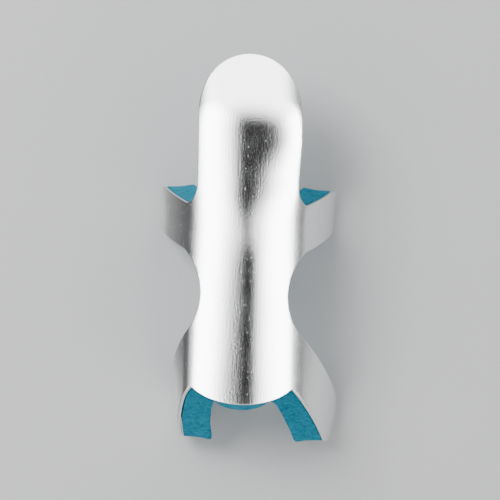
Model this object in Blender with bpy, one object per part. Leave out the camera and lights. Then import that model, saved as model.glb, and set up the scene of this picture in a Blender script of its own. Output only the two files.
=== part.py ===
"""Finger splint: an aluminium shell lined with a foam pad, lying metal side up on its four wing tips.

Both pieces start as flat blanks of one outline: a strip with a round tip, two narrow wings at the middle and
two wide ones at the lower end. The blanks are then formed: the strip is arched across, the tip is bent down,
and the wings are folded down along lines parallel to the strip.

+Y points to the tip, +X to the right wings and +Z up. The origin is under the middle of the whole splint, on
the surface that it stands on.
"""

import math

import bmesh
import bpy
from mathutils import Matrix, Vector

OBJECT_NAME = "finger_splint"
MM = 0.001

# Sheet and foam
METAL_THICKNESS = 0.8 * MM
FOAM_THICKNESS = 6.3 * MM
GLUE_GAP = 0.3 * MM
FOAM_SPREAD = 0.7 * MM  # how far the free face of the foam stands past the edge of the metal
END_SQUEEZE = 1.2 * MM  # how much further the arch squeezes it out at the middle of the lower end
HEEL_SQUEEZE = 2.4 * MM  # and in the corners between the lower end and the wings
HEEL_REACH = 6.0 * MM

# Outline of the flat blank, measured along the strip from its waist
BODY_WIDTH = 25.0 * MM
WAIST_WIDTH = 21.2 * MM
NOTCH_RADIUS = 10.0 * MM
TIP_LENGTH = 55.5 * MM
END_BULGE = 3.4 * MM
ROOT_FILLET = 4.4 * MM
HEEL_FILLET = 1.0 * MM

# Wings of the flat blank. Reach is measured outwards from the edge of the strip, and lean away from the waist.
WINGS = {
    "upper": {"width": 10.3 * MM, "reach": 26.4 * MM, "lean": 10.0, "corner": 3.6 * MM},
    "lower": {"width": 11.7 * MM, "reach": 25.7 * MM, "lean": 32.5, "corner": 3.8 * MM},
}

# Arch across the strip. Flatness is 0 on a true arc, and more where the crest was pressed flatter.
ARCH_RADIUS = 15.0 * MM
CRESTS = (
    {"share": -0.45, "left": 0.20, "right": 0.20},
    {"share": -0.10, "left": 0.05, "right": 0.05},
    {"share": 0.28, "left": -0.15, "right": -0.15},
    {"share": 0.45, "left": 0.00, "right": 0.40},
    {"share": 0.62, "left": 0.10, "right": 0.95},
    {"share": 1.00, "left": 0.30, "right": 0.30},
)

# Slope of each wing in degrees, just past the fold and at its end, and how much less it is along its inner edge
FOLD_LENGTH = 6.0 * MM
FOLD_START = 1.0 * MM  # inside the edge of the strip
FOLDS = {
    ("upper", "left"): {"root": 63.0, "end": 80.0, "flare": 0.0},
    ("upper", "right"): {"root": 62.0, "end": 80.0, "flare": 0.0},
    ("lower", "left"): {"root": 75.0, "end": 87.0, "flare": 12.0},
    ("lower", "right"): {"root": 60.0, "end": 74.0, "flare": 5.0},
}

# Bend of the tip
TIP_BEND_START = 36.5 * MM
TIP_BEND_RADIUS = 14.0 * MM
TIP_BEND_ANGLE = math.radians(32.0)

# Facets
CELL_ACROSS = 1.9 * MM
CELL_ALONG = 2.3 * MM
ARC_STEP = math.radians(11.0)
INTEGRATION_STEPS = 48

ALUMINIUM_COLOR = (0.80, 0.81, 0.82, 1.0)
FOAM_COLOR = (0.05, 0.27, 0.42, 1.0)

HALF_BODY = BODY_WIDTH / 2
EDGE_SLOPE = HALF_BODY / ARCH_RADIUS


def smooth_step(value):
    """0 below 0, 1 above 1 and a soft rise between them."""
    value = min(max(value, 0.0), 1.0)
    return value * value * (3 - 2 * value)


def blend(first, last, share):
    return first + (last - first) * share


def crossing(point, direction, other_point, other_direction):
    """Where two lines of the blank meet."""
    turn = direction.cross(other_direction)
    distance = (other_point - point).cross(other_direction) / turn
    return point + direction * distance


def wing_lines(end):
    """The inner edge of a right wing, tangent to the waist's notch, as a point, its direction and its outward side."""
    wing = WINGS[end]
    lean = math.radians(wing["lean"])
    towards = 1 if end == "upper" else -1
    direction = Vector((math.cos(lean), towards * math.sin(lean)))
    outer_side = Vector((-math.sin(lean), towards * math.cos(lean)))
    notch_centre = Vector((WAIST_WIDTH / 2 + NOTCH_RADIUS, 0))
    return notch_centre + outer_side * NOTCH_RADIUS, direction, outer_side


def wing_corners(end):
    """The root of a right wing's outer edge, its two end corners from the outer to the inner, and its inner line."""
    wing = WINGS[end]
    inner, direction, outer_side = wing_lines(end)
    outer = inner + outer_side * wing["width"]
    up = Vector((0, 1))
    body_edge = Vector((HALF_BODY, 0))
    root = crossing(outer, direction, body_edge, up)
    middle_root = crossing(inner + outer_side * wing["width"] / 2, direction, body_edge, up)
    end_middle = middle_root + direction * wing["reach"] / direction.x
    half = outer_side * wing["width"] / 2
    return root, end_middle + half, end_middle - half, (inner, direction)


def end_arc(corner):
    """Points of the convex lower end, from the right corner to the left one, without the two corners."""
    radius = (corner.x**2 + END_BULGE**2) / (2 * END_BULGE)
    centre = Vector((0, corner.y - END_BULGE + radius))
    half_angle = math.asin(corner.x / radius)
    steps = 2 * math.ceil(half_angle / ARC_STEP * 1.5)
    angles = [blend(half_angle, -half_angle, step / steps) for step in range(1, steps)]
    return [centre + radius * Vector((math.sin(angle), -math.cos(angle))) for angle in angles]


def rounded(corners):
    """The closed outline through the corners, each given with the radius that rounds it."""
    points = []
    for index, (corner, radius) in enumerate(corners):
        if radius == 0:
            points.append(corner)
            continue
        back = (corners[index - 1][0] - corner).normalized()
        ahead = (corners[(index + 1) % len(corners)][0] - corner).normalized()
        half_angle = back.angle(ahead) / 2
        centre = corner + (back + ahead).normalized() * radius / math.sin(half_angle)
        spoke = corner + back * radius / math.tan(half_angle) - centre
        last_spoke = corner + ahead * radius / math.tan(half_angle) - centre
        turn = -spoke.angle_signed(last_spoke)
        steps = max(1, math.ceil(abs(turn) / ARC_STEP))
        points += [centre + Matrix.Rotation(turn * step / steps, 2) @ spoke for step in range(steps + 1)]
    return points


def blank_outline():
    """The outline of the flat blank, clockwise from the tip."""
    upper_root, upper_outer, upper_inner, upper_line = wing_corners("upper")
    lower_root, lower_outer, lower_inner, lower_line = wing_corners("lower")
    right = [
        (Vector((HALF_BODY, TIP_LENGTH)), HALF_BODY),
        (upper_root, ROOT_FILLET),
        (upper_outer, WINGS["upper"]["corner"]),
        (upper_inner, WINGS["upper"]["corner"]),
        (crossing(*upper_line, *lower_line), NOTCH_RADIUS),
        (lower_inner, WINGS["lower"]["corner"]),
        (lower_outer, WINGS["lower"]["corner"]),
        (lower_root, HEEL_FILLET),
    ]
    left = [(Vector((-corner.x, corner.y)), radius) for corner, radius in reversed(right)]
    end = [(point, 0) for point in end_arc(lower_root)]
    return rounded(right + end + left)


def crest_flatness(along, side):
    """Flatness of one side of the arch at a distance from the waist, read between the rows of CRESTS."""
    share = along / TIP_LENGTH
    for row, following in zip(CRESTS, CRESTS[1:]):
        if share < following["share"]:
            break
    rise = smooth_step((share - row["share"]) / (following["share"] - row["share"]))
    return blend(row[side], following[side], rise)


def wing_slopes(end, side, along):
    """Slopes of a wing just past its fold and at its end, in radians."""
    fold = FOLDS[end, side]
    wing = WINGS[end]
    drift = abs(along) - NOTCH_RADIUS
    inner_share = 1 - min(max(drift / (2 * wing["width"]), 0), 1)
    flare = fold["flare"] * (inner_share - 0.5)
    return math.radians(fold["root"] - flare), math.radians(fold["end"] - flare)


def section_slope(across, along, side):
    """How steeply the blank falls at a distance from its crest line, in radians."""
    share = min(across / HALF_BODY, 1)
    arch = EDGE_SLOPE * share * (1 - crest_flatness(along, side) * (1 - share**2))
    lower = smooth_step(0.5 - along / NOTCH_RADIUS)
    slopes = zip(wing_slopes("upper", side, along), wing_slopes("lower", side, along))
    root, end = (blend(upper_slope, lower_slope, lower) for upper_slope, lower_slope in slopes)
    reach = blend(WINGS["upper"]["reach"], WINGS["lower"]["reach"], lower)
    fold = smooth_step((across - HALF_BODY + FOLD_START) / FOLD_LENGTH)
    curl = max(across - HALF_BODY, 0) / reach
    return arch + fold * (root - EDGE_SLOPE) + curl * (end - root)


def spine(along):
    """The crest line: how far it has run along, how far it has dropped, and its slope."""
    start = TIP_BEND_START
    angle = min(max((along - start) / TIP_BEND_RADIUS, 0), TIP_BEND_ANGLE)
    straight = max(along - start - TIP_BEND_RADIUS * TIP_BEND_ANGLE, 0)
    run = min(along, start) + TIP_BEND_RADIUS * math.sin(angle) + straight * math.cos(angle)
    drop = TIP_BEND_RADIUS * (1 - math.cos(angle)) + straight * math.sin(angle)
    return run, drop, angle


def formed(across, along, depth):
    """Where a point of the flat blank lands, its depth measured in from the outer face of the metal."""
    side = "left" if across < 0 else "right"
    sign = -1 if across < 0 else 1
    step = abs(across) / INTEGRATION_STEPS
    out, fall = 0.0, 0.0
    for index in range(INTEGRATION_STEPS):
        slope = section_slope((index + 0.5) * step, along, side)
        out += math.cos(slope) * step
        fall += math.sin(slope) * step
    slope = section_slope(abs(across), along, side)
    out -= depth * math.sin(slope)
    fall += depth * math.cos(slope)
    run, drop, bend = spine(along)
    return Vector((sign * out, run - fall * math.sin(bend), -drop - fall * math.cos(bend)))


def flat_blank(name, outline, thickness):
    """A flat sheet of one outline, halfway above and below its plane, as a bmesh cut into cells."""
    curve = bpy.data.curves.new(name, "CURVE")
    curve.dimensions = "2D"
    curve.fill_mode = "BOTH"
    curve.extrude = thickness / 2
    spline = curve.splines.new("POLY")
    spline.points.add(len(outline) - 1)
    for control, point in zip(spline.points, outline):
        control.co = (point.x, point.y, 0, 1)
    spline.use_cyclic_u = True
    guide = bpy.data.objects.new(name, curve)
    bpy.context.scene.collection.objects.link(guide)
    flat = bpy.data.meshes.new_from_object(guide.evaluated_get(bpy.context.evaluated_depsgraph_get()))
    slab = bmesh.new()
    slab.from_mesh(flat)
    bpy.data.meshes.remove(flat)
    bpy.data.objects.remove(guide)
    bmesh.ops.remove_doubles(slab, verts=slab.verts, dist=0.001 * MM)
    bmesh.ops.dissolve_limit(slab, angle_limit=math.radians(1), verts=slab.verts, edges=slab.edges)
    cut_into_cells(slab)
    return slab


def cut_into_cells(slab):
    """Cuts a slab along a grid with a column of cells on its crest line, so that it can follow its curves."""
    for axis, size in ((0, CELL_ACROSS), (1, CELL_ALONG)):
        normal = Vector((0, 0, 0))
        normal[axis] = 1
        places = [vertex.co[axis] / size for vertex in slab.verts]
        for index in range(math.floor(min(places)), math.ceil(max(places))):
            geometry = slab.verts[:] + slab.edges[:] + slab.faces[:]
            place = normal * (index + 0.5) * size
            bmesh.ops.bisect_plane(slab, geom=geometry, dist=0.01 * MM, plane_co=place, plane_no=normal)
    bmesh.ops.remove_doubles(slab, verts=slab.verts, dist=0.1 * MM)


def spread_free_face(slab):
    """Moves the lower rim of the flat foam outwards, most at the lower end, where the arch squeezes it."""
    heel = wing_corners("lower")[0]
    slab.normal_update()
    moves = {}
    for vertex in slab.verts:
        walls = [face.normal for face in vertex.link_faces if abs(face.normal.z) < 0.5]
        if vertex.co.z < 0 and walls:
            distance = FOAM_SPREAD
            if vertex.co.y < heel.y + FOAM_SPREAD:
                squeeze = blend(END_SQUEEZE, HEEL_SQUEEZE, min(abs(vertex.co.x) / heel.x, 1) ** 2)
                distance += squeeze * smooth_step(1 - (abs(vertex.co.x) - heel.x) / HEEL_REACH)
            moves[vertex] = sum(walls, Vector()).normalized() * distance
    for vertex, move in moves.items():
        vertex.co += move


def formed_piece(name, slab, top_depth, thickness, material):
    """A flat slab formed into one sheet of the laminate, its outer face top_depth in from the metal's."""
    for vertex in slab.verts:
        depth = top_depth + thickness / 2 - vertex.co.z
        vertex.co = formed(vertex.co.x, vertex.co.y, depth)
    bmesh.ops.recalc_face_normals(slab, faces=slab.faces)
    mesh = bpy.data.meshes.new(name)
    slab.to_mesh(mesh)
    slab.free()
    mesh.shade_smooth()
    mesh.set_sharp_from_angle(angle=math.radians(40))
    mesh.materials.append(material)
    return bpy.data.objects.new(name, mesh)


def plain_material(name, color, roughness, metallic):
    material = bpy.data.materials.new(name)
    material.use_nodes = True
    shader = material.node_tree.nodes["Principled BSDF"]
    shader.inputs["Base Color"].default_value = color
    shader.inputs["Roughness"].default_value = roughness
    shader.inputs["Metallic"].default_value = metallic
    return material


def stand_on_origin(pieces):
    """Moves the pieces so that the middle of their box is over the origin and its floor is at 0."""
    corners = [vertex.co for piece in pieces for vertex in piece.data.vertices]
    lowest = Vector([min(corner[axis] for corner in corners) for axis in range(3)])
    highest = Vector([max(corner[axis] for corner in corners) for axis in range(3)])
    middle = (lowest + highest) / 2
    shift = Matrix.Translation((-middle.x, -middle.y, -lowest.z))
    for piece in pieces:
        piece.data.transform(shift)


def build():
    for old in list(bpy.data.objects):
        bpy.data.objects.remove(old)
    collection = bpy.data.collections.new(OBJECT_NAME)
    bpy.context.scene.collection.children.link(collection)
    outline = blank_outline()
    aluminium = plain_material("aluminium", ALUMINIUM_COLOR, 0.28, 1.0)
    foam = plain_material("blue_foam", FOAM_COLOR, 0.9, 0.0)
    metal_blank = flat_blank("aluminium_shell", outline, METAL_THICKNESS)
    foam_blank = flat_blank("foam_pad", outline, FOAM_THICKNESS)
    spread_free_face(foam_blank)
    shell = formed_piece("aluminium_shell", metal_blank, 0, METAL_THICKNESS, aluminium)
    pad = formed_piece("foam_pad", foam_blank, METAL_THICKNESS + GLUE_GAP, FOAM_THICKNESS, foam)
    stand_on_origin([shell, pad])
    for piece in (shell, pad):
        collection.objects.link(piece)


build()
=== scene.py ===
# %% [markdown]
# A finger splint, dressed for its portrait.
#
# The real splint is one flat blank, cut from a laminate: thin soft aluminium sheet on a thick blue foam. A
# press arches the strip, bends its tip down and folds its four wings, so the metal takes the curve and the
# foam follows it. The whole lesson is built round that fact. One outline is drawn flat, one rule forms it,
# and the metal and the foam are the same rule read at two depths. Nothing has to be fitted to anything
# afterwards.

# %% Load the frame
import math

import bmesh
import bpy
import numpy as np
from mathutils import Matrix, Vector
from mathutils.geometry import delaunay_2d_cdt


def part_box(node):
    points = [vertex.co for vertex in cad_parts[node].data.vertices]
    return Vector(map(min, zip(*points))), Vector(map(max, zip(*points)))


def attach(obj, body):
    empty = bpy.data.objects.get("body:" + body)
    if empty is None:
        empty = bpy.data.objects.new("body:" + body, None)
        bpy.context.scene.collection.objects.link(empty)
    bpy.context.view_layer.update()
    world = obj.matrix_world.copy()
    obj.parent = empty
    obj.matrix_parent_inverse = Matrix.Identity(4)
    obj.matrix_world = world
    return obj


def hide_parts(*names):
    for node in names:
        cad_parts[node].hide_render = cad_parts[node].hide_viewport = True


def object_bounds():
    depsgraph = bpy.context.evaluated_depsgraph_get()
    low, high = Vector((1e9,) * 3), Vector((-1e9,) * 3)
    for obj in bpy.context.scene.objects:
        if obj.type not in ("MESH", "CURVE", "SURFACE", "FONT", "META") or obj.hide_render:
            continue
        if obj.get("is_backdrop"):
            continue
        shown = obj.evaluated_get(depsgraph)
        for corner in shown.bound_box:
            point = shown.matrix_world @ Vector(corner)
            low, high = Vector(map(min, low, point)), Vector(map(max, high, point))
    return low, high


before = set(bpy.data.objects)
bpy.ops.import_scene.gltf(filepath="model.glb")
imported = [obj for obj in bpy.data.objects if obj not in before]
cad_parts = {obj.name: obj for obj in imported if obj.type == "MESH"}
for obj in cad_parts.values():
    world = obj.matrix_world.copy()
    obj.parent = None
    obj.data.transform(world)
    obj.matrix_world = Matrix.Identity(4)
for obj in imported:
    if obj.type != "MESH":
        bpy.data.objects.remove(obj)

solid_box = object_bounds()
MM = 0.001
print("solids:", sorted(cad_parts))
print("their box in mm:", [[round(value / MM, 2) for value in corner] for corner in solid_box])

# %% [markdown]
# The blank's sizes come first, as they would on a drawing. "Along" runs up the strip from its waist,
# "across" runs out from its crest line. They are the sizes that the solids were built with, so the fine
# surfaces that follow land exactly where the solids are.

# %% Sizes of the laminate and its blank
METAL_THICKNESS = 0.8 * MM
FOAM_THICKNESS = 6.3 * MM
GLUE_GAP = 0.3 * MM
FOAM_SPREAD = 0.7 * MM
END_SQUEEZE = 1.2 * MM
HEEL_SQUEEZE = 2.4 * MM
HEEL_REACH = 6.0 * MM

BODY_WIDTH = 25.0 * MM
WAIST_WIDTH = 21.2 * MM
NOTCH_RADIUS = 10.0 * MM
TIP_LENGTH = 55.5 * MM
END_BULGE = 3.4 * MM
ROOT_FILLET = 4.4 * MM
HEEL_FILLET = 1.0 * MM
HALF_BODY = BODY_WIDTH / 2

WINGS = {
    "upper": {"width": 10.3 * MM, "reach": 26.4 * MM, "lean": 10.0, "corner": 3.6 * MM},
    "lower": {"width": 11.7 * MM, "reach": 25.7 * MM, "lean": 32.5, "corner": 3.8 * MM},
}
print("laminate:", round((METAL_THICKNESS + GLUE_GAP + FOAM_THICKNESS) / MM, 1), "mm thick")

# %% [markdown]
# The outline is a list of corners, each with the radius that rounds it. That is how a die maker reads it,
# and it keeps the four wings honest: both sides come from one list, mirrored.

# %% Find the corners of the flat blank
ARC_STEP = math.radians(3.0)


def crossing(point, direction, other_point, other_direction):
    """Where two lines of the blank meet."""
    distance = (other_point - point).cross(other_direction) / direction.cross(other_direction)
    return point + direction * distance


def wing_lines(end):
    """The inner edge of a right wing, tangent to the notch: a point, its direction and its outward side."""
    lean = math.radians(WINGS[end]["lean"])
    towards = 1 if end == "upper" else -1
    direction = Vector((math.cos(lean), towards * math.sin(lean)))
    outer_side = Vector((-math.sin(lean), towards * math.cos(lean)))
    notch_centre = Vector((WAIST_WIDTH / 2 + NOTCH_RADIUS, 0))
    return notch_centre + outer_side * NOTCH_RADIUS, direction, outer_side


def wing_corners(end):
    """The root of a right wing's outer edge, its outer and inner end corners, and its inner line."""
    wing = WINGS[end]
    inner, direction, outer_side = wing_lines(end)
    edge = (Vector((HALF_BODY, 0)), Vector((0, 1)))
    root = crossing(inner + outer_side * wing["width"], direction, *edge)
    middle_root = crossing(inner + outer_side * wing["width"] / 2, direction, *edge)
    end_middle = middle_root + direction * wing["reach"] / direction.x
    half = outer_side * wing["width"] / 2
    return root, end_middle + half, end_middle - half, (inner, direction)


def end_arc(corner):
    """Points of the convex lower end, from its right corner to its left one, without the corners."""
    radius = (corner.x**2 + END_BULGE**2) / (2 * END_BULGE)
    centre = Vector((0, corner.y - END_BULGE + radius))
    half_angle = math.asin(corner.x / radius)
    steps = 2 * math.ceil(half_angle / ARC_STEP)
    angles = [half_angle * (1 - 2 * step / steps) for step in range(1, steps)]
    return [centre + radius * Vector((math.sin(angle), -math.cos(angle))) for angle in angles]


# %% [markdown]
# Each corner is rounded by walking its arc in small steps. The arc touches both edges, so its centre lies on
# the line that halves the corner. The notch between two wings is the same thing with a larger radius.

# %% Round the corners and close the outline


def rounded(corners):
    """The closed outline through the corners, each given with the radius that rounds it."""
    points = []
    for index, (corner, radius) in enumerate(corners):
        if radius == 0:
            points.append(corner)
            continue
        back = (corners[index - 1][0] - corner).normalized()
        ahead = (corners[(index + 1) % len(corners)][0] - corner).normalized()
        half_angle = back.angle(ahead) / 2
        centre = corner + (back + ahead).normalized() * radius / math.sin(half_angle)
        spoke = corner + back * radius / math.tan(half_angle) - centre
        last_spoke = corner + ahead * radius / math.tan(half_angle) - centre
        turn = -spoke.angle_signed(last_spoke)
        steps = max(1, math.ceil(abs(turn) / ARC_STEP))
        points += [centre + Matrix.Rotation(turn * step / steps, 2) @ spoke for step in range(steps + 1)]
    return points


def blank_outline():
    """The outline of the flat blank, from the right of the tip, down, and back up the left side."""
    upper_root, upper_outer, upper_inner, upper_line = wing_corners("upper")
    lower_root, lower_outer, lower_inner, lower_line = wing_corners("lower")
    right = [
        (Vector((HALF_BODY, TIP_LENGTH)), HALF_BODY),
        (upper_root, ROOT_FILLET),
        (upper_outer, WINGS["upper"]["corner"]),
        (upper_inner, WINGS["upper"]["corner"]),
        (crossing(*upper_line, *lower_line), NOTCH_RADIUS),
        (lower_inner, WINGS["lower"]["corner"]),
        (lower_outer, WINGS["lower"]["corner"]),
        (lower_root, HEEL_FILLET),
    ]
    left = [(Vector((-corner.x, corner.y)), radius) for corner, radius in reversed(right)]
    return rounded(right + [(point, 0) for point in end_arc(lower_root)] + left)


# %% [markdown]
# The rim will be joined to rings and to triangles, and those come out even only if its own points are. So
# the outline is walked once more at one spacing, and each point gets the direction that leads out of the
# blank.

# %% Space the outline evenly
MESH_SPACING = 0.5 * MM
DOUBLE_SHARE = 0.02


def evenly_spaced(points, spacing):
    """The same closed outline with points at one spacing, anticlockwise, and the outward side at each."""
    loop = np.array([[point.x, point.y] for point in points])
    loop = loop[np.linalg.norm(loop - np.roll(loop, 1, axis=0), axis=1) > DOUBLE_SHARE * spacing]
    area = np.sum(loop[:, 0] * np.roll(loop[:, 1], -1) - loop[:, 1] * np.roll(loop[:, 0], -1))
    loop = loop if area > 0 else loop[::-1]
    closed = np.vstack([loop, loop[:1]])
    travelled = np.concatenate([[0], np.cumsum(np.linalg.norm(np.diff(closed, axis=0), axis=1))])
    stops = np.linspace(0, travelled[-1], round(travelled[-1] / spacing), endpoint=False)
    even = np.column_stack([np.interp(stops, travelled, closed[:, axis]) for axis in (0, 1)])
    tangent = np.roll(even, -1, axis=0) - np.roll(even, 1, axis=0)
    outward = np.column_stack([tangent[:, 1], -tangent[:, 0]]) / np.linalg.norm(tangent, axis=1)[:, None]
    return even, outward


outline, outward_sides = evenly_spaced(blank_outline(), MESH_SPACING)
print("outline:", len(outline), "points,", round(len(outline) * MESH_SPACING / MM), "mm round")

# %% [markdown]
# Next comes the rule that forms the blank. At each place the sheet has a slope, measured down from its
# crest: an arch across the strip, a fold at each wing's root and a gentle curl to its end. Adding up small
# steps along that slope gives the formed section. It is the same thing as bending a real sheet, since
# nothing stretches. The strip was bent by hand, so the crest is flatter in some places than in others, and
# flatter still on the right near the tip. Between the upper wings it was pinched, which left a faint ridge,
# and below the ridge the crest leans a little to the right. Each is a tenth of a millimetre high, but a
# reflection magnifies it.

# %% How the crest differs along the strip
CRESTS = (
    {"share": -0.45, "left": 0.20, "right": 0.20},
    {"share": -0.10, "left": 0.05, "right": 0.05},
    {"share": 0.28, "left": -0.15, "right": -0.15},
    {"share": 0.45, "left": 0.00, "right": 0.40},
    {"share": 0.62, "left": 0.10, "right": 0.95},
    {"share": 1.00, "left": 0.30, "right": 0.30},
)
RIDGE_SHARE = 0.265
RIDGE_REACH = 0.15
RIDGE_HALF_WIDTH = 1.9 * MM
RIDGE_SLOPE = math.radians(5.5)
LEAN_SHARE = 0.30
LEAN_REACH = 0.15
LEAN_HALF_WIDTH = 4.0 * MM
LEAN_SLOPE = math.radians(3.0)


def smooth_step(value):
    """0 below 0, 1 above 1 and a soft rise between them."""
    value = np.clip(value, 0.0, 1.0)
    return value * value * (3 - 2 * value)


def crest_flatness(along, side):
    """Flatness of the arch on one side, read between the rows of CRESTS."""
    share = along / TIP_LENGTH
    flatness = np.full_like(share, CRESTS[0][side])
    for row, following in zip(CRESTS, CRESTS[1:]):
        rise = smooth_step((share - row["share"]) / (following["share"] - row["share"]))
        flatness += (following[side] - row[side]) * rise
    return flatness


def crest_ridge(across, along):
    """The extra slope of a faint ridge on the crest between the upper wings, where the sheet was pinched."""
    strength = smooth_step(1 - np.abs(along / TIP_LENGTH - RIDGE_SHARE) / RIDGE_REACH)
    share = across / RIDGE_HALF_WIDTH
    return RIDGE_SLOPE * strength * share * np.exp(-(share**2))


def crest_lean(across, along, side):
    """The extra slope that moves the crest a little to the right below the ridge. The sides stay."""
    strength = smooth_step((LEAN_SHARE - along / TIP_LENGTH) / LEAN_REACH)
    share = across / LEAN_HALF_WIDTH
    sign = 1 if side == "left" else -1
    return sign * LEAN_SLOPE * strength * (1 - 2 * share**2) * np.exp(-(share**2))


# %% [markdown]
# One section then adds up three things: the arch, which grows steeper out to the strip's edge, the fold at
# the wing's root and the curl of the wing. The fold is spread over a few millimetres, because foam this thick
# keeps the metal from creasing. Upper and lower wings lean differently, so the section turns from one to the
# other at the waist.

# %% The slope of a section
ARCH_RADIUS = 15.0 * MM
EDGE_SLOPE = HALF_BODY / ARCH_RADIUS
FOLD_LENGTH = 6.0 * MM
FOLD_START = 1.0 * MM
FOLDS = {
    ("upper", "left"): {"root": 63.0, "end": 80.0, "flare": 0.0},
    ("upper", "right"): {"root": 62.0, "end": 80.0, "flare": 0.0},
    ("lower", "left"): {"root": 75.0, "end": 87.0, "flare": 12.0},
    ("lower", "right"): {"root": 60.0, "end": 74.0, "flare": 5.0},
}
print("slope at the strip's edge:", round(math.degrees(EDGE_SLOPE), 1), "degrees")


def wing_slopes(end, side, along):
    """Slopes of a wing just past its fold and at its end, in radians."""
    fold = FOLDS[end, side]
    inner_share = 1 - np.clip((np.abs(along) - NOTCH_RADIUS) / (2 * WINGS[end]["width"]), 0, 1)
    flare = fold["flare"] * (inner_share - 0.5)
    return np.radians(fold["root"] - flare), np.radians(fold["end"] - flare)


def section_slope(across, along, side):
    """How steeply the blank falls at a distance out from its crest line, in radians."""
    share = np.minimum(across / HALF_BODY, 1)
    arch = EDGE_SLOPE * share * (1 - crest_flatness(along, side) * (1 - share**2))
    lower = smooth_step(0.5 - along / NOTCH_RADIUS)
    (upper_root, upper_end), (lower_root, lower_end) = (wing_slopes(end, side, along) for end in WINGS)
    root = upper_root + (lower_root - upper_root) * lower
    end = upper_end + (lower_end - upper_end) * lower
    reach = WINGS["upper"]["reach"] + (WINGS["lower"]["reach"] - WINGS["upper"]["reach"]) * lower
    fold = smooth_step((across - HALF_BODY + FOLD_START) / FOLD_LENGTH)
    curl = np.maximum(across - HALF_BODY, 0) / reach
    crest = crest_ridge(across, along) + crest_lean(across, along, side)
    return arch + crest + fold * (root - EDGE_SLOPE) + curl * (end - root)


# %% [markdown]
# The crest line itself runs straight and then bends down towards the tip on an arc. A point of the blank is
# placed by walking down its section from the crest, then by standing that section square to the bent line.
# All points walk at once as arrays, which takes a moment instead of a minute.

# %% Form a point of the blank
TIP_BEND_START = 36.5 * MM
TIP_BEND_RADIUS = 14.0 * MM
TIP_BEND_ANGLE = math.radians(32.0)
INTEGRATION_STEPS = 96


def spine(along):
    """The crest line: how far it has run along, how far it has dropped, and its slope."""
    angle = np.clip((along - TIP_BEND_START) / TIP_BEND_RADIUS, 0, TIP_BEND_ANGLE)
    straight = np.maximum(along - TIP_BEND_START - TIP_BEND_RADIUS * TIP_BEND_ANGLE, 0)
    run = np.minimum(along, TIP_BEND_START) + TIP_BEND_RADIUS * np.sin(angle) + straight * np.cos(angle)
    drop = TIP_BEND_RADIUS * (1 - np.cos(angle)) + straight * np.sin(angle)
    return run, drop, angle


def formed(blank):
    """Where points of the blank land: rows of across, along and depth in from the metal's outer face."""
    places = np.empty_like(blank)
    for side, sign in (("left", -1), ("right", 1)):
        chosen = blank[:, 0] < 0 if sign < 0 else blank[:, 0] >= 0
        across, along, depth = np.abs(blank[chosen, 0]), blank[chosen, 1], blank[chosen, 2]
        step = across / INTEGRATION_STEPS
        out, fall = np.zeros_like(across), np.zeros_like(across)
        for index in range(INTEGRATION_STEPS):
            slope = section_slope((index + 0.5) * step, along, side)
            out += np.cos(slope) * step
            fall += np.sin(slope) * step
        slope = section_slope(across, along, side)
        out -= depth * np.sin(slope)
        fall += depth * np.cos(slope)
        run, drop, bend = spine(along)
        places[chosen] = np.column_stack([sign * out, run - fall * np.sin(bend), -drop - fall * np.cos(bend)])
    return places


tip_corner = np.array([[0.0, TIP_LENGTH, 0.0]])
print("the bend lowers the tip by", round(-formed(tip_corner)[0, 2] / MM, 1), "mm")

# %% [markdown]
# A sheet this smooth shows every uneven facet in its reflections, so the inside of the blank is filled with
# an even, staggered field of points and a Delaunay triangulation joins them up. A grid cut by the outline
# would have been simpler, but it leaves slivers along the edge, just where the light catches.

# %% Fill the outline with even triangles
RIM_CLEARANCE_SHARE = 0.7
MEETING_TOLERANCE = 1e-6


def inside(points, loop):
    """Which points lie inside a closed loop, by counting how often a ray from each one crosses it."""
    odd = np.zeros(len(points), bool)
    for (x1, y1), (x2, y2) in zip(loop, np.roll(loop, -1, axis=0)):
        spans = (y1 > points[:, 1]) != (y2 > points[:, 1])
        if y1 != y2:
            odd ^= spans & (points[:, 0] < x1 + (points[:, 1] - y1) * (x2 - x1) / (y2 - y1))
    return odd


def nearest_on_loop(points, loop):
    """Distance from each point to the nearest of a loop's points, and which one that is."""
    distance = np.full(len(points), np.inf)
    which = np.zeros(len(points), int)
    for index, place in enumerate(loop):
        here = np.hypot(*(points - place).T)
        closer = here < distance
        distance[closer] = here[closer]
        which[closer] = index
    return distance, which


def staggered_field(loop, spacing):
    """Points of a triangular grid inside a loop, kept clear of it."""
    low, high = loop.min(axis=0), loop.max(axis=0)
    rows = np.arange(low[1], high[1], spacing * math.sqrt(3) / 2)
    columns = np.arange(low[0], high[0], spacing)
    field = [np.column_stack([columns + spacing / 2 * (index % 2), np.full_like(columns, row)])
             for index, row in enumerate(rows)]
    field = np.vstack(field)
    field = field[inside(field, loop)]
    distance, which = nearest_on_loop(field, loop)
    clear = distance > RIM_CLEARANCE_SHARE * spacing
    return field[clear], distance[clear], which[clear]


def triangles_over(loop, field):
    """Triangles that join a loop and the field inside it, as rows of three indices."""
    points = np.vstack([loop, field]) / MM
    count = len(loop)
    edges = [(index, (index + 1) % count) for index in range(count)]
    result = delaunay_2d_cdt([Vector(point) for point in points], edges, [], 1, MEETING_TOLERANCE)
    triangles = np.array([face for face in result[2] if len(face) == 3])
    if len(result[0]) != len(points):
        raise RuntimeError("the outline crosses itself")
    return triangles


field, rim_distance, nearest_rim = staggered_field(outline, MESH_SPACING)
triangles = triangles_over(outline, field)
print("blank:", len(field), "inner points,", len(triangles), "triangles a face")

# %% [markdown]
# A layer of the laminate is then two filled faces and the rings of points that join them round the rim.
# Each point keeps its flat place in an attribute named blank, so the finishes can follow the sheet through
# every bend, and a second attribute says how much of the cut edge it belongs to.

# %% Build one layer of the laminate


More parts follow.
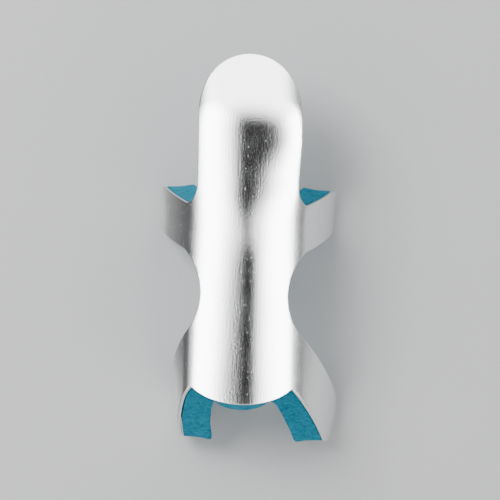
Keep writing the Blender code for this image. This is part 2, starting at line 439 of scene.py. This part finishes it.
def layer(name, rings, upper_field, lower_field):
    """A closed layer: rings run round the rim from upper to lower face, and fields fill the two faces."""
    count = len(outline)
    blank = np.vstack([*rings, upper_field, lower_field])
    first_lower = (len(rings) - 1) * count
    upper = np.where(triangles < count, triangles, triangles + first_lower)
    lower = np.where(triangles < count, triangles + first_lower, triangles + first_lower + len(upper_field))
    here = np.arange(count)
    beside = np.roll(here, -1)
    walls = [np.column_stack([here, beside, beside + count, here + count]) + index * count
             for index in range(len(rings) - 1)]
    faces = [*upper.tolist(), *lower[:, ::-1].tolist(), *np.vstack(walls).tolist()]
    mesh = bpy.data.meshes.new(name)
    mesh.from_pydata(formed(blank).tolist(), [], faces)
    flat = mesh.attributes.new("blank", "FLOAT_VECTOR", "POINT")
    flat.data.foreach_set("vector", blank.astype(np.float32).ravel())
    on_rim = np.zeros(len(blank), np.float32)
    on_rim[count:first_lower] = 1
    mesh.attributes.new("cut_edge", "FLOAT", "POINT").data.foreach_set("value", on_rim)
    shape = bmesh.new()
    shape.from_mesh(mesh)
    bmesh.ops.recalc_face_normals(shape, faces=shape.faces)
    shape.to_mesh(mesh)
    shape.free()
    mesh.shade_smooth()
    piece = bpy.data.objects.new(name, mesh)
    bpy.context.scene.collection.objects.link(piece)
    print(name, "has", sum(len(face) - 2 for face in faces), "triangles")
    return piece


def at_depth(points, depth):
    return np.column_stack([points, np.broadcast_to(depth, len(points))])


def ring_at(outward, depth):
    """The outline moved outwards by a distance, the same or one for each point, at one depth."""
    distance = np.broadcast_to(outward, len(outline))
    return at_depth(outline + outward_sides * distance[:, None], depth)


# %% [markdown]
# The metal was blanked and its edge tumbled, so both corners of the edge are small rounds and the wall
# between them is straight. Four steps a corner are enough for the thin bright line that such an edge shows.

# %% Make the aluminium shell
EDGE_ROUND = 0.22 * MM
EDGE_STEPS = 4


def metal_rings():
    """Rings round the sheet's edge: a quarter round, a straight wall and a quarter round."""
    rings = []
    for corner in (0, 1):
        for step in range(EDGE_STEPS + 1):
            angle = math.pi / 2 * (step / EDGE_STEPS + corner)
            drop = EDGE_ROUND * (1 - math.cos(angle))
            depth = drop if corner == 0 else METAL_THICKNESS - 2 * EDGE_ROUND + drop
            rings.append(ring_at(EDGE_ROUND * (math.sin(angle) - 1), depth))
    return rings


shell = layer("splint_shell", metal_rings(), at_depth(field, 0), at_depth(field, METAL_THICKNESS))

# %% [markdown]
# The foam is the same blank, nearly ten times as thick. Its glued face keeps the metal's outline. Its free
# face is on the inside of every bend, where there is less room, so it is squeezed out past the metal all
# round, and most at the lower end and in the corners beside the lower wings. The cut wall is a little
# hollow between its two edges, as foam is after a die has pressed through it.

# %% Make the foam pad
FOAM_TOP = METAL_THICKNESS + GLUE_GAP
WALL_RINGS = 15
WALL_HOLLOW = 0.22 * MM
GLUED_ROUND = 0.15 * MM
FREE_ROUND = 0.55 * MM
SPREAD_REACH = 4.5 * MM


def free_face_spread():
    """How far each point of the outline stands out on the free face."""
    heel = wing_corners("lower")[0]
    across = np.abs(outline[:, 0])
    squeeze = END_SQUEEZE + (HEEL_SQUEEZE - END_SQUEEZE) * np.minimum(across / heel.x, 1) ** 2
    at_end = smooth_step((heel.y + FOAM_SPREAD - outline[:, 1]) / FOAM_SPREAD)
    return FOAM_SPREAD + at_end * squeeze * smooth_step(1 - (across - heel.x) / HEEL_REACH)


def foam_rings(spread):
    """Rings down the cut wall, closer together at its rounded edges."""
    rings = []
    for index in range(WALL_RINGS):
        share = (1 - math.cos(math.pi * index / (WALL_RINGS - 1))) / 2
        depth = FOAM_THICKNESS * share
        from_glued = max(1 - depth / GLUED_ROUND, 0)
        from_free = max(1 - (FOAM_THICKNESS - depth) / FREE_ROUND, 0)
        pulled_in = GLUED_ROUND * (1 - math.sqrt(1 - from_glued**2))
        pulled_in += FREE_ROUND * (1 - math.sqrt(1 - from_free**2))
        outward = spread * share - WALL_HOLLOW * math.sin(math.pi * share) - pulled_in
        rings.append(ring_at(outward, FOAM_TOP + depth))
    return rings


spread = free_face_spread()
share_of_spread = smooth_step(1 - rim_distance / SPREAD_REACH) * (spread[nearest_rim] - FREE_ROUND)
free_field = field + outward_sides[nearest_rim] * share_of_spread[:, None]
free_face = at_depth(free_field, FOAM_TOP + FOAM_THICKNESS)
pad = layer("splint_foam", foam_rings(spread), at_depth(field, FOAM_TOP), free_face)

# %% [markdown]
# Both layers stand in the blank's own frame until here. One move takes them to the frame of the solids: the
# middle and the top of the metal are brought to the middle and the top of its solid.

# %% Put the two layers where the solids are


def box_of(piece):
    places = np.array([vertex.co for vertex in piece.data.vertices])
    return places.min(axis=0), places.max(axis=0)


def shift_to_frame():
    low, high = box_of(shell)
    solid_low, solid_high = (np.array(corner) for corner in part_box("aluminium_shell"))
    middle = (solid_low + solid_high) / 2 - (low + high) / 2
    return Vector((middle[0], middle[1], solid_high[2] - high[2]))


to_frame = Matrix.Translation(shift_to_frame())
for piece in (shell, pad):
    piece.data.transform(to_frame)
    print(piece.name, [[round(value / MM, 2) for value in corner] for corner in box_of(piece)])

# %% [markdown]
# Foam is never quite flat. Its skin dimples over the larger cells, and it swells a little where it isn't
# held. That is a shape that follows a rule over a surface, so a Geometry Nodes tree makes it: two noises
# push the free face and the cut walls along their normals, and a mask keeps the glued face still.

# %% A small helper for node trees


def add_node(tree, kind, inputs=None, **values):
    """A node with its settings and input values. An input given as a socket is linked."""
    node = tree.nodes.new(kind)
    for key, value in values.items():
        setattr(node, key, value)
    for key, value in (inputs or {}).items():
        if isinstance(value, bpy.types.NodeSocket):
            tree.links.new(value, node.inputs[key])
        else:
            node.inputs[key].default_value = value
    return node


def lay_out(tree, columns=6, width=230, height=260):
    """Spreads a tree's nodes on a grid, so that it can be read in the editor."""
    for index, node in enumerate(tree.nodes):
        node.location = (width * (index % columns), -height * (index // columns))


# %% The foam's relief as Geometry Nodes
RELIEF_INPUTS = {
    "Dimple Size": 1.3 * MM,
    "Dimple Depth": 0.07 * MM,
    "Swell Size": 9.0 * MM,
    "Swell Depth": 0.22 * MM,
    "Seed": 7.0,
}
HELD_SHARE = 0.35


def noise_push(tree, size, depth, seed):
    """A length between minus and plus half of depth that varies over the surface at one size."""
    place = add_node(tree, "GeometryNodeInputPosition")
    scale = add_node(tree, "ShaderNodeMath", {0: 1.0, 1: size}, operation="DIVIDE")
    noise = add_node(
        tree, "ShaderNodeTexNoise",
        {"Vector": place.outputs[0], "W": seed, "Scale": scale.outputs[0], "Detail": 1.0, "Roughness": 0.5},
        noise_dimensions="4D",
    )
    centred = add_node(tree, "ShaderNodeMath", {0: noise.outputs[0], 1: 0.5}, operation="SUBTRACT")
    push = add_node(tree, "ShaderNodeMath", {0: centred.outputs[0], 1: depth}, operation="MULTIPLY")
    return push.outputs[0]


def foam_relief_tree():
    tree = bpy.data.node_groups.new("foam_relief", "GeometryNodeTree")
    tree.interface.new_socket(name="Geometry", in_out="INPUT", socket_type="NodeSocketGeometry")
    for name in RELIEF_INPUTS:
        tree.interface.new_socket(name=name, in_out="INPUT", socket_type="NodeSocketFloat")
    tree.interface.new_socket(name="Material", in_out="INPUT", socket_type="NodeSocketMaterial")
    tree.interface.new_socket(name="Geometry", in_out="OUTPUT", socket_type="NodeSocketGeometry")
    given = add_node(tree, "NodeGroupInput").outputs
    dimples = noise_push(tree, given["Dimple Size"], given["Dimple Depth"], given["Seed"])
    swell = noise_push(tree, given["Swell Size"], given["Swell Depth"], given["Seed"])
    push = add_node(tree, "ShaderNodeMath", {0: dimples, 1: swell}, operation="ADD")
    free = add_node(tree, "GeometryNodeInputNamedAttribute", {"Name": "free"}, data_type="FLOAT")
    masked = add_node(tree, "ShaderNodeMath", {0: push.outputs[0], 1: free.outputs[0]}, operation="MULTIPLY")
    normal = add_node(tree, "GeometryNodeInputNormal")
    offset = add_node(
        tree, "ShaderNodeVectorMath", {0: normal.outputs[0], "Scale": masked.outputs[0]}, operation="SCALE"
    )
    pushed = add_node(
        tree, "GeometryNodeSetPosition", {"Geometry": given["Geometry"], "Offset": offset.outputs[0]}
    )
    real = add_node(tree, "GeometryNodeRealizeInstances", {"Geometry": pushed.outputs[0]})
    dressed = add_node(
        tree, "GeometryNodeSetMaterial", {"Geometry": real.outputs[0], "Material": given["Material"]}
    )
    add_node(tree, "NodeGroupOutput", {"Geometry": dressed.outputs[0]})
    lay_out(tree)
    return tree


def apply_tree(piece, tree, values):
    """Runs a tree on a piece with values for its named inputs and keeps the result as a plain mesh."""
    modifier = piece.modifiers.new(tree.name, "NODES")
    modifier.node_group = tree
    for socket in tree.interface.items_tree:
        if socket.item_type == "SOCKET" and socket.in_out == "INPUT" and socket.name in values:
            modifier[socket.identifier] = values[socket.name]
    result = bpy.data.meshes.new_from_object(piece.evaluated_get(bpy.context.evaluated_depsgraph_get()))
    piece.modifiers.remove(modifier)
    before = piece.data
    piece.data = result
    bpy.data.meshes.remove(before)
    print(piece.name, "after", tree.name, "has", len(result.polygons), "faces")


def mark_free(piece):
    """An attribute that is 0 on the glued face and rises to 1 a little way down the wall."""
    mesh = piece.data
    flat = np.empty(len(mesh.vertices) * 3, np.float32)
    mesh.attributes["blank"].data.foreach_get("vector", flat)
    free = smooth_step((flat[2::3] - FOAM_TOP - GLUED_ROUND) / (HELD_SHARE * FOAM_THICKNESS))
    mesh.attributes.new("free", "FLOAT", "POINT").data.foreach_set("value", free.astype(np.float32))


# %% [markdown]
# Three effects turn up in more than one finish, so each is a node group of its own: fine lines drawn out
# along the sheet, a slow mottle, and small specks. They put out values and masks only. The shader stays in
# each material, where it can be read at a glance.

# %% Shared effects as node groups
SPECK_RADIUS_SHARE = 0.22
NOISE_LOW, NOISE_HIGH = 0.3, 0.7


def new_effect(name, inputs, output):
    """An empty shader group with a vector named Place, named sizes and one output."""
    tree = bpy.data.node_groups.new(name, "ShaderNodeTree")
    tree.interface.new_socket(name="Place", in_out="INPUT", socket_type="NodeSocketVector")
    for label in inputs:
        tree.interface.new_socket(name=label, in_out="INPUT", socket_type="NodeSocketFloat")
    tree.interface.new_socket(name=output, in_out="OUTPUT", socket_type="NodeSocketFloat")
    return tree, add_node(tree, "NodeGroupInput").outputs


def divided(tree, place, across, along):
    """A place divided by a size across and one along."""
    sizes = add_node(tree, "ShaderNodeCombineXYZ", {0: across, 1: along, 2: across})
    result = add_node(tree, "ShaderNodeVectorMath", {0: place, 1: sizes.outputs[0]}, operation="DIVIDE")
    return result.outputs[0]


def drawn_lines_group():
    """Fine lines that run along the sheet: a height from 0 to 1."""
    tree, given = new_effect("drawn_lines", ("Across", "Along"), "Height")
    place = divided(tree, given["Place"], given["Across"], given["Along"])
    noise = add_node(
        tree, "ShaderNodeTexNoise", {"Vector": place, "Scale": 1.0, "Detail": 3.0, "Roughness": 0.6}
    )
    add_node(tree, "NodeGroupOutput", {0: noise.outputs[0]})
    lay_out(tree)
    return tree


def mottle_group():
    """A slow, cloudy change between a low and a high value."""
    tree, given = new_effect("mottle", ("Size", "Low", "High"), "Value")
    place = divided(tree, given["Place"], given["Size"], given["Size"])
    noise = add_node(
        tree, "ShaderNodeTexNoise", {"Vector": place, "Scale": 1.0, "Detail": 4.0, "Roughness": 0.55}
    )
    value = add_node(
        tree, "ShaderNodeMapRange",
        {
            "Value": noise.outputs[0], "From Min": NOISE_LOW, "From Max": NOISE_HIGH,
            "To Min": given["Low"], "To Max": given["High"],
        },
    )
    add_node(tree, "NodeGroupOutput", {0: value.outputs[0]})
    lay_out(tree)
    return tree


def specks_group():
    """Small round specks, one in some of the cells of a grid of the given size: a mask."""
    tree, given = new_effect("specks", ("Size", "Share"), "Mask")
    place = divided(tree, given["Place"], given["Size"], given["Size"])
    cells = add_node(tree, "ShaderNodeTexVoronoi", {"Vector": place, "Scale": 1.0})
    distance = cells.outputs["Distance"]
    near = add_node(tree, "ShaderNodeMath", {0: distance, 1: SPECK_RADIUS_SHARE}, operation="LESS_THAN")
    drawn = add_node(tree, "ShaderNodeSeparateColor", {0: cells.outputs["Color"]})
    picked = add_node(tree, "ShaderNodeMath", {0: drawn.outputs[0], 1: given["Share"]}, operation="LESS_THAN")
    mask = add_node(tree, "ShaderNodeMath", {0: near.outputs[0], 1: picked.outputs[0]}, operation="MULTIPLY")
    add_node(tree, "NodeGroupOutput", {0: mask.outputs[0]})
    lay_out(tree)
    return tree


effects = {"lines": drawn_lines_group(), "mottle": mottle_group(), "specks": specks_group()}
print("effects:", ", ".join(effects))


def effect(tree, name, **inputs):
    """One of the shared effects in a material, with its own sizes."""
    sockets = {label.title(): value for label, value in inputs.items()}
    return add_node(tree, "ShaderNodeGroup", sockets, node_tree=effects[name]).outputs[0]


def blank_place(tree):
    """The place on the flat blank, so that a pattern follows the sheet through its bends."""
    return add_node(tree, "ShaderNodeAttribute", attribute_name="blank").outputs["Vector"]


def math_node(tree, operation, first, second):
    return add_node(tree, "ShaderNodeMath", {0: first, 1: second}, operation=operation).outputs[0]


def mixed(tree, share, first, second):
    """A colour between two, by a share from 0 to 1."""
    node = add_node(tree, "ShaderNodeMix", data_type="RGBA")
    for socket, value in (("Factor_Float", share), ("A_Color", first), ("B_Color", second)):
        target = next(item for item in node.inputs if item.identifier == socket)
        if isinstance(value, bpy.types.NodeSocket):
            tree.links.new(value, target)
        else:
            target.default_value = value
    return next(item for item in node.outputs if item.identifier == "Result_Color")


def bumped(tree, height, distance, strength):
    """A normal that leans as a relief of this height would make it lean."""
    bump = add_node(tree, "ShaderNodeBump", {"Height": height, "Distance": distance, "Strength": strength})
    return bump.outputs[0]


def new_material(name):
    material = bpy.data.materials.new(name)
    material.use_nodes = True
    return material, material.node_tree, material.node_tree.nodes["Principled BSDF"]


# %% [markdown]
# Rolled aluminium is bright but not a mirror. The rolls leave fine lines along the strip, which smear
# reflections sideways, and a sandy grain that glints here and there in the dark parts. Handling left one
# dull patch on the crest. The sheared edge is a little rougher and duller than the faces.

# %% The aluminium finish
METAL_LIGHT = (0.93, 0.935, 0.94, 1.0)
METAL_DULL = (0.84, 0.85, 0.86, 1.0)
METAL_EDGE = (0.80, 0.80, 0.80, 1.0)
METAL_GLINT = (1.0, 1.0, 1.0, 1.0)
METAL_EDGE_SHARE = 0.8
ROLL_LINES = {"across": 0.35 * MM, "along": 9.0 * MM}
ROLL_STREAKS = {"across": 1.1 * MM, "along": 26.0 * MM}
STREAK_CLOUDS = {"size": 11.0 * MM, "low": 0.0, "high": 1.0}
SAND = {"size": 0.42 * MM, "low": 0.0, "high": 1.0}
SAND_HEIGHT = 1.3
GLINTS = {"size": 0.42 * MM, "share": 0.08}
GLINT_HEIGHT = 0.3
METAL_BUMP = 0.020 * MM
METAL_BUMP_STRENGTH = 0.8
METAL_ROUGHNESS = {"size": 7.0 * MM, "low": 0.13, "high": 0.20}
EDGE_ROUGHNESS = 0.12
GLINT_ROUGHNESS = 0.22
DULL_PLACE = RIDGE_SHARE * TIP_LENGTH
DULL_REACH = 8.5 * MM
DULL_HALF_WIDTH = 9.0 * MM
DULL_ROUGHNESS = 0.15


def fading(tree, distance, reach, most):
    """A value that falls softly from most, at no distance, to 0 at a reach."""
    node = add_node(
        tree, "ShaderNodeMapRange",
        {"Value": distance, "From Min": reach, "From Max": 0.0, "To Min": 0.0, "To Max": most},
        interpolation_type="SMOOTHSTEP",
    )
    return node.outputs[0]


def handled_patch(tree, place):
    """A patch of the crest that was dulled where it was held and pinched: the roughness it adds."""
    parts = add_node(tree, "ShaderNodeSeparateXYZ", {0: place}).outputs
    away = math_node(tree, "ABSOLUTE", math_node(tree, "SUBTRACT", parts["Y"], DULL_PLACE), 0.0)
    along = fading(tree, away, DULL_REACH, DULL_ROUGHNESS)
    across = fading(tree, math_node(tree, "ABSOLUTE", parts["X"], 0.0), DULL_HALF_WIDTH, 1.0)
    return math_node(tree, "MULTIPLY", along, across)


def aluminium_finish():
    material, tree, shader = new_material("satin_aluminium")
    place = blank_place(tree)
    lines = effect(tree, "lines", place=place, **ROLL_LINES)
    streaks = effect(tree, "lines", place=place, **ROLL_STREAKS)
    sand = effect(tree, "mottle", place=place, **SAND)
    clouds = effect(tree, "mottle", place=place, **STREAK_CLOUDS)
    glints = effect(tree, "specks", place=place, **GLINTS)
    edge = add_node(tree, "ShaderNodeAttribute", attribute_name="cut_edge").outputs["Fac"]
    color = mixed(tree, math_node(tree, "MULTIPLY", streaks, clouds), METAL_LIGHT, METAL_DULL)
    color = mixed(tree, math_node(tree, "MULTIPLY", edge, METAL_EDGE_SHARE), color, METAL_EDGE)
    color = mixed(tree, glints, color, METAL_GLINT)
    tree.links.new(color, shader.inputs["Base Color"])
    rough = effect(tree, "mottle", place=place, **METAL_ROUGHNESS)
    rough = math_node(tree, "ADD", rough, handled_patch(tree, place))
    rough = math_node(tree, "ADD", rough, math_node(tree, "MULTIPLY", edge, EDGE_ROUGHNESS))
    rough = math_node(tree, "ADD", rough, math_node(tree, "MULTIPLY", glints, GLINT_ROUGHNESS))
    tree.links.new(rough, shader.inputs["Roughness"])
    shader.inputs["Metallic"].default_value = 1.0
    height = math_node(tree, "ADD", lines, math_node(tree, "MULTIPLY", sand, SAND_HEIGHT))
    height = math_node(tree, "ADD", height, math_node(tree, "MULTIPLY", glints, GLINT_HEIGHT))
    tree.links.new(bumped(tree, height, METAL_BUMP, METAL_BUMP_STRENGTH), shader.inputs["Normal"])
    lay_out(tree)
    return material


# %% [markdown]
# The foam is matt, with a touch of sheen from its broken cells. Its cut walls are darker and coarser than
# the free face, because the die opens the cells there. A Voronoi pattern gives the cells, at two sizes, and
# the middle of each cell is painted darker, as painted shade in its pit.

# %% The foam finish
FOAM_FACE = (0.010, 0.270, 0.385, 1.0)
# The darker blue is both the foam's own slow mottle and the painted shade in its cell pits.
FOAM_MOTTLE_AND_PIT_SHADE = (0.002, 0.085, 0.135, 1.0)
FOAM_WALL = (0.006, 0.236, 0.350, 1.0)
FOAM_LINT = (0.35, 0.55, 0.65, 1.0)
FOAM_CLOUDS = {"size": 6.0 * MM, "low": 0.0, "high": 1.0}
FOAM_CLOUD_SHARE = 0.45
FINE_CELL = 0.55 * MM
COARSE_CELL = 1.20 * MM
# Painted shade in the cell pits: how much darker their middles are painted.
FINE_PIT_SHADE = 0.9
COARSE_PIT_SHADE = 0.7
PIT_SHADE_LEVEL = 1.05
LINT = {"size": 0.7 * MM, "share": 0.004}
PRESS_LINES = {"across": 2.2 * MM, "along": 16.0 * MM}
PRESS_LINE_HEIGHT = 0.8
FREE_FACE_CELLS = 0.35
FOAM_BUMP = 0.28 * MM
FOAM_BUMP_STRENGTH = 0.7
FOAM_ROUGHNESS = {"size": 4.0 * MM, "low": 0.82, "high": 0.96}
FOAM_SPECULAR = 0.06
FOAM_SHEEN = 0.04
FOAM_SHEEN_ROUGHNESS = 0.45


def cell_pits(tree, place, size):
    """Rounded pits of one size: 0 at the middle of a cell and 1 at its rim."""
    scaled = add_node(tree, "ShaderNodeVectorMath", {0: place, "Scale": 1 / size}, operation="SCALE")
    cells = add_node(
        tree, "ShaderNodeTexVoronoi", {"Vector": scaled.outputs[0], "Scale": 1.0}, feature="SMOOTH_F1"
    )
    return cells.outputs["Distance"]


def foam_finish():
    material, tree, shader = new_material("blue_foam")
    place = add_node(tree, "ShaderNodeTexCoord").outputs["Object"]
    wall = add_node(tree, "ShaderNodeAttribute", attribute_name="cut_edge").outputs["Fac"]
    fine = cell_pits(tree, place, FINE_CELL)
    coarse = cell_pits(tree, place, COARSE_CELL)
    clouds = effect(tree, "mottle", place=place, **FOAM_CLOUDS)
    lint = effect(tree, "specks", place=place, **LINT)
    lines = effect(tree, "lines", place=blank_place(tree), **PRESS_LINES)
    color = mixed(tree, math_node(tree, "MULTIPLY", clouds, FOAM_CLOUD_SHARE), FOAM_FACE, FOAM_MOTTLE_AND_PIT_SHADE)
    color = mixed(tree, wall, color, FOAM_WALL)
    # Painted shade: each cell is painted darker towards its middle, where its pit is deepest.
    fine_pit_shade = math_node(tree, "MULTIPLY", fine, FINE_PIT_SHADE)
    pits = math_node(tree, "ADD", fine_pit_shade, math_node(tree, "MULTIPLY", coarse, COARSE_PIT_SHADE))
    color = mixed(tree, math_node(tree, "SUBTRACT", PIT_SHADE_LEVEL, pits), color, FOAM_MOTTLE_AND_PIT_SHADE)
    color = mixed(tree, lint, color, FOAM_LINT)
    tree.links.new(color, shader.inputs["Base Color"])
    tree.links.new(effect(tree, "mottle", place=place, **FOAM_ROUGHNESS), shader.inputs["Roughness"])
    shader.inputs["Specular IOR Level"].default_value = FOAM_SPECULAR
    shader.inputs["Sheen Weight"].default_value = FOAM_SHEEN
    shader.inputs["Sheen Roughness"].default_value = FOAM_SHEEN_ROUGHNESS
    coarse_share = math_node(tree, "MULTIPLY", coarse, math_node(tree, "ADD", FREE_FACE_CELLS, wall))
    height = math_node(tree, "ADD", fine, coarse_share)
    height = math_node(tree, "ADD", height, math_node(tree, "MULTIPLY", lines, PRESS_LINE_HEIGHT))
    tree.links.new(bumped(tree, height, FOAM_BUMP, FOAM_BUMP_STRENGTH), shader.inputs["Normal"])
    lay_out(tree)
    return material


# %% Dress the two pieces
aluminium = aluminium_finish()
foam = foam_finish()
print("finishes:", aluminium.name, "and", foam.name)
shell.data.materials.append(aluminium)
mark_free(pad)
apply_tree(pad, foam_relief_tree(), {**RELIEF_INPUTS, "Material": foam})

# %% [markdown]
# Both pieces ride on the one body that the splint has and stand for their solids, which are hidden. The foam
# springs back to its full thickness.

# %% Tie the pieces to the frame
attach(shell, "root")
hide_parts("aluminium_shell")
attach(pad, "root")
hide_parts("foam_pad")

# %% [markdown]
# The splint lies on plain pale paper with a slight mottle. It is matt, so it shows a soft shadow and no
# reflection of the splint.

# %% The floor
FLOOR_COLOR = (0.60, 0.605, 0.61, 1.0)
FLOOR_FIBRE_COLOR = (0.591, 0.596, 0.601, 1.0)
FLOOR_FIBRES = {"size": 1.5 * MM, "low": 0.0, "high": 1.0}
FLOOR_ROUGHNESS = 0.9
FLOOR_SPECULAR = 0.05
FLOOR_HALF = 1.5
FLOOR_DROP = 0.1 * MM


def pale_floor():
    mesh = bpy.data.meshes.new("pale_floor")
    corners = [(x, y, -FLOOR_DROP) for x, y in ((-1, -1), (1, -1), (1, 1), (-1, 1))]
    corners = [(x * FLOOR_HALF, y * FLOOR_HALF, z) for x, y, z in corners]
    mesh.from_pydata(corners, [], [(0, 1, 2, 3)])
    floor = bpy.data.objects.new("pale_floor", mesh)
    bpy.context.scene.collection.objects.link(floor)
    material, tree, shader = new_material("matt_paper")
    place = add_node(tree, "ShaderNodeTexCoord").outputs["Object"]
    fibres = effect(tree, "mottle", place=place, **FLOOR_FIBRES)
    tree.links.new(mixed(tree, fibres, FLOOR_COLOR, FLOOR_FIBRE_COLOR), shader.inputs["Base Color"])
    shader.inputs["Roughness"].default_value = FLOOR_ROUGHNESS
    shader.inputs["Specular IOR Level"].default_value = FLOOR_SPECULAR
    mesh.materials.append(material)
    floor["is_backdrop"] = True


pale_floor()

# %% [markdown]
# Polished sheet shows what stands round it, so the light is chosen by what each part of the arch can see. The
# crest looks straight up, and a dark patch overhead gives the dark streak along it. The flanks look at bright
# soft light all round, which makes them white. A sky with a dark top does both at once. Its reflection is
# brighter than its light, as that of softboxes is, so the sheet gleams while the floor and the foam stay in
# range. Softboxes stand at the two sides and beyond the tip, and it is dim behind the lower end.

# %% The sky
SKY_STOPS = (
    {"height": 0.00, "light": 5.0},
    {"height": 0.10, "light": 13.0},
    {"height": 0.60, "light": 12.0},
    {"height": 0.83, "light": 5.0},
    {"height": 0.90, "light": 2.2},
    {"height": 0.945, "light": 0.40},
    {"height": 0.97, "light": 0.06},
    {"height": 1.00, "light": 0.03},
)
SKY_ON_MATT = 0.125
SIDE_BOX = {"start": 0.55, "full": 0.90, "light": 1.0}
TIP_BOX = {"start": 0.10, "full": 0.80, "light": 0.45}
DIM_LIGHT = 0.09


def softbox_share(tree, direction):
    """How much of the light a reflection finds by compass: all of it at the sides, some beyond the tip."""
    level = add_node(tree, "ShaderNodeVectorMath", {0: direction, 1: (1.0, 1.0, 0.0)}, operation="MULTIPLY")
    compass = add_node(tree, "ShaderNodeVectorMath", {0: level.outputs[0]}, operation="NORMALIZE").outputs[0]
    parts = add_node(tree, "ShaderNodeSeparateXYZ", {0: compass}).outputs
    sideways = math_node(tree, "ABSOLUTE", parts["X"], 0.0)
    shares = []
    for value, box in ((sideways, SIDE_BOX), (parts["Y"], TIP_BOX)):
        share = add_node(
            tree, "ShaderNodeMapRange",
            {
                "Value": value, "From Min": box["start"], "From Max": box["full"],
                "To Min": DIM_LIGHT, "To Max": box["light"],
            },
            interpolation_type="SMOOTHSTEP",
        )
        shares.append(share.outputs[0])
    return math_node(tree, "MAXIMUM", *shares)


def studio_sky():
    world = bpy.data.worlds.new("studio_sky")
    bpy.context.scene.world = world
    world.use_nodes = True
    tree = world.node_tree
    direction = add_node(tree, "ShaderNodeTexCoord").outputs["Generated"]
    height = add_node(tree, "ShaderNodeSeparateXYZ", {0: direction}).outputs["Z"]
    ramp = add_node(tree, "ShaderNodeValToRGB", {0: height})
    strongest = max(stop["light"] for stop in SKY_STOPS)
    elements = ramp.color_ramp.elements
    while len(elements) < len(SKY_STOPS):
        elements.new(0.5)
    for element, stop in zip(elements, SKY_STOPS):
        element.position = stop["height"]
    for element, stop in zip(elements, SKY_STOPS):
        element.color = (*[stop["light"] / strongest] * 3, 1.0)
    seen = add_node(tree, "ShaderNodeLightPath").outputs["Is Glossy Ray"]
    reflected = math_node(tree, "MULTIPLY", softbox_share(tree, direction), strongest)
    share = add_node(
        tree, "ShaderNodeMapRange", {"Value": seen, "To Min": strongest * SKY_ON_MATT, "To Max": reflected}
    )
    background = tree.nodes["Background"]
    tree.links.new(share.outputs[0], background.inputs["Strength"])
    tree.links.new(ramp.outputs[0], background.inputs["Color"])
    lay_out(tree)


studio_sky()
print("sky: darkest", SKY_STOPS[-1]["light"], "and brightest", max(stop["light"] for stop in SKY_STOPS))

# %% [markdown]
# Two dark panels, which photographers call flags, stand beside the splint and draw the dark line along each
# fold. Only reflections see them. The left one also has a foot, which darkens the wing next to it.

# %% The flags
FLAG_LENGTH = 150.0 * MM
FLAG_LIFT = 0.2 * MM
FLAGS = {
    "left": {
        "profile": ((24.0 * MM, FLAG_LIFT), (34.0 * MM, FLAG_LIFT), (34.0 * MM, 20.0 * MM)),
        "greys": (0.18, 0.10),
    },
    "right": {"profile": ((46.0 * MM, FLAG_LIFT), (46.0 * MM, 17.0 * MM)), "greys": (0.22,)},
}


def dark_flag(side, profile, greys):
    """A flag that only reflections show, bent along a profile of distances out and heights."""
    sign = -1 if side == "left" else 1
    half = FLAG_LENGTH / 2
    corners = [(sign * out, y, z) for out, z in profile for y in (-half, half)]
    firsts = range(0, len(corners) - 2, 2)
    mesh = bpy.data.meshes.new(f"{side}_flag")
    mesh.from_pydata(corners, [], [(first, first + 1, first + 3, first + 2) for first in firsts])
    flag = bpy.data.objects.new(f"{side}_flag", mesh)
    bpy.context.scene.collection.objects.link(flag)
    for index, (face, grey) in enumerate(zip(mesh.polygons, greys)):
        material, tree, shader = new_material(f"{side}_flag_{index + 1}")
        shader.inputs["Base Color"].default_value = (grey, grey, grey, 1.0)
        mesh.materials.append(material)
        face.material_index = index
    flag.visible_camera = flag.visible_diffuse = flag.visible_shadow = False
    flag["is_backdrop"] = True


for side, flag in FLAGS.items():
    dark_flag(side, **flag)
print("flags:", ", ".join(FLAGS))

# %% [markdown]
# One broad lamp on the left adds a soft shadow, so that the splint stands on its floor. Reflections don't see
# it, or it would burn a spot on the metal.

# %% The lamp
KEY_LAMP = {"place": (-0.35, 0.30, 0.60), "target": (0, 0, 0), "width": 0.30, "length": 0.40, "watts": 5.0}


def soft_lamp(name, place, target, width, length, watts):
    light = bpy.data.lights.new(name, "AREA")
    light.shape = "RECTANGLE"
    light.size, light.size_y = width, length
    light.energy = watts
    lamp = bpy.data.objects.new(name, light)
    lamp.location = place
    lamp.rotation_euler = (Vector(target) - Vector(place)).to_track_quat("-Z", "Y").to_euler()
    lamp.visible_glossy = False
    bpy.context.scene.collection.objects.link(lamp)


soft_lamp("key", **KEY_LAMP)

# %% [markdown]
# The camera hangs 80 cm above the splint and looks almost straight down, as in the photograph, with the tip
# at the top of the picture. A long lens keeps its sides from showing.

# %% Camera
CAMERA_PLACE = Vector((0.0001, 0.0294, 0.8))
CAMERA_ROLL = math.radians(1.65)
PICTURE_WIDTH = 112.0 * MM


def look_down():
    low, high = (Vector(corner) for corner in solid_box)
    middle = (low + high) / 2
    data = bpy.data.cameras.new("camera")
    data.lens = data.sensor_width * (CAMERA_PLACE - middle).length / PICTURE_WIDTH
    camera = bpy.data.objects.new("camera", data)
    camera.location = CAMERA_PLACE
    aim = (middle - CAMERA_PLACE).normalized()
    right = Vector((math.cos(CAMERA_ROLL), math.sin(CAMERA_ROLL), 0))
    up = right.cross(aim).normalized()
    right = aim.cross(up)
    camera.rotation_euler = Matrix((right, up, -aim)).transposed().to_euler()
    bpy.context.scene.collection.objects.link(camera)
    bpy.context.scene.camera = camera
    print("lens:", round(data.lens), "mm")


look_down()

# %% [markdown]
# Last, the two boxes are written down: the one of the solids and the one of what was made here. They should
# be alike to a fraction of a millimetre, because dressing a part doesn't change its size.

# %% Compare the boxes and finish
boxes = {"solids": solid_box, "dressed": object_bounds()}
for name, box in boxes.items():
    print(name, [[round(value / MM, 2) for value in corner] for corner in box])
